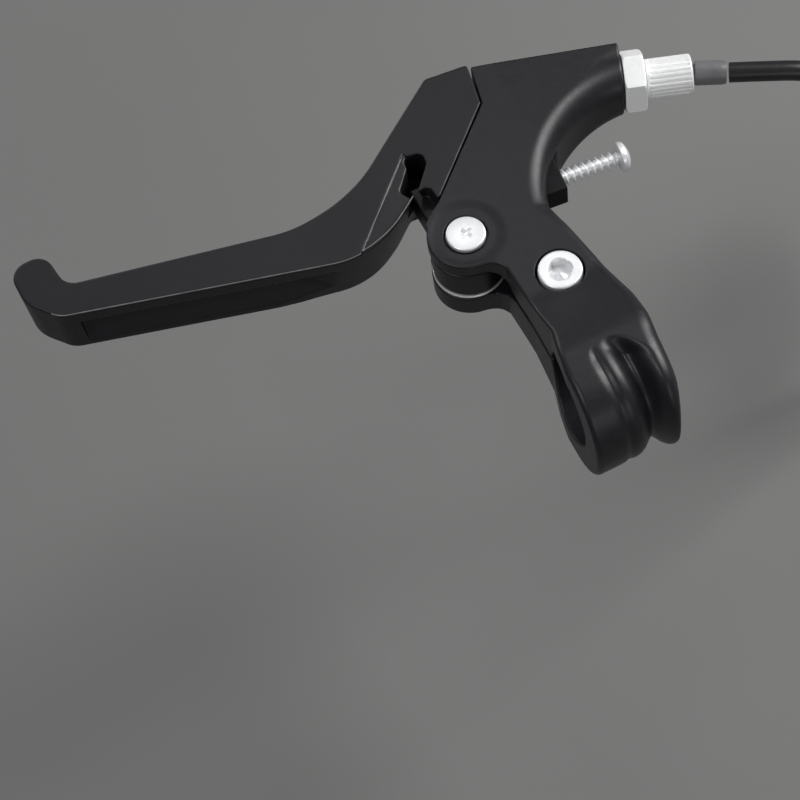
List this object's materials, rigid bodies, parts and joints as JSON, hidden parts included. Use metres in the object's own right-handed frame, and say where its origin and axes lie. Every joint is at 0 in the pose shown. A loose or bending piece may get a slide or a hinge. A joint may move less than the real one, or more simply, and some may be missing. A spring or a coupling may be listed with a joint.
{
  "type": "bicycle brake lever",
  "caption": "Left-hand bicycle brake lever: moulded handlebar clamp bracket, hooked finger lever on a pivot, barrel adjuster, reach screw and black cable housing.",
  "frame": {"origin": "centre of the handlebar clamp's bore, midway between the bracket's two faces", "axes": "+X along the handlebar towards the middle of the bicycle, +Y forwards in the lever's plane, +Z along the lever's pivot, towards the screw heads"},
  "size_m": [0.2597, 0.1142, 0.1606],
  "materials": {
    "black_resin": "satin moulded resin with a fine grain",
    "lever_resin": "satin moulded resin with a fine grain",
    "zinc_steel": "bright zinc plate",
    "dull_steel": "plain drawn steel",
    "cast_aluminium": "satin die-cast and turned",
    "black_block": "matt",
    "grey_sleeve": "satin",
    "housing_skin": "smooth extruded skin, slight gloss",
    "white_nylon": "plain nylon"
  },
  "bodies": {
    "bracket": {"bracket": "black_resin", "pivot_screw": "zinc_steel", "pivot_nut": "zinc_steel", "pivot_bushing": "dull_steel", "pivot_washer_near": "zinc_steel", "pivot_washer_far": "zinc_steel", "return_spring": "dull_steel", "clamp_bolt": "zinc_steel", "clamp_nut": "zinc_steel", "reach_nut": "black_block"},
    "lever": {"lever_blade": "lever_resin"},
    "cable_end": {"cable_nipple": "dull_steel", "inner_wire": "dull_steel"},
    "lock_ring": {"lock_ring": "cast_aluminium"},
    "cable_stop": {"housing_ferrule": "grey_sleeve", "brake_housing": "housing_skin", "housing_coil": "housing_skin", "housing_tail": "housing_skin", "coil_tie": "white_nylon", "end_ferrule": "dull_steel", "wire_crimp_cap": "cast_aluminium"},
    "adjuster": {"adjuster_barrel": "cast_aluminium"},
    "reach_pad": {"reach_pad": "white_nylon"},
    "reach_screw": {"reach_screw": "zinc_steel"}
  },
  "joints": [
    {"name": "lever_pivot", "type": "hinge", "parent": "bracket", "child": "lever", "pos_m": [-0.0151, 0.0453, 0], "axis": [0, 0, 1], "range_deg": [0, 30], "stiffness_Nm_per_rad": 0.06, "springref_deg": -20.05},
    {"name": "cable_swing", "type": "hinge", "parent": "lever", "child": "cable_end", "pos_m": [0.0005, 0.082, 0], "axis": [0, 0, 1], "range_deg": [-26.9, 0]},
    {"name": "lock_ring_turn", "type": "hinge", "parent": "bracket", "child": "lock_ring", "pos_m": [0.0402, 0.07094, 0], "axis": [0.933, -0.36, 0], "range_deg": [0, 360]},
    {"name": "adjuster_slide", "type": "slide", "parent": "bracket", "child": "cable_stop", "axis": [0.933, -0.36, 0], "range_m": [0, 0.006]},
    {"name": "adjuster_turn", "type": "hinge", "parent": "cable_stop", "child": "adjuster", "pos_m": [0.0402, 0.07094, 0], "axis": [0.933, -0.36, 0], "range_deg": [0, 2160]},
    {"name": "reach_slide", "type": "slide", "parent": "bracket", "child": "reach_pad", "axis": [-0.994, 0.1097, 0], "range_m": [0, 0.003]},
    {"name": "reach_turn", "type": "hinge", "parent": "reach_pad", "child": "reach_screw", "pos_m": [0.0139, 0.0535, 0], "axis": [-0.994, 0.1097, 0], "range_deg": [0, 676]}
  ],
  "couplings": [
    {"joint": "cable_swing", "follows": "lever_pivot", "ratio": -0.895},
    {"joint": "adjuster_turn", "follows": "adjuster_slide", "rad_per_m": 6283.2},
    {"joint": "reach_turn", "follows": "reach_slide", "rad_per_m": 3927}
  ]
}
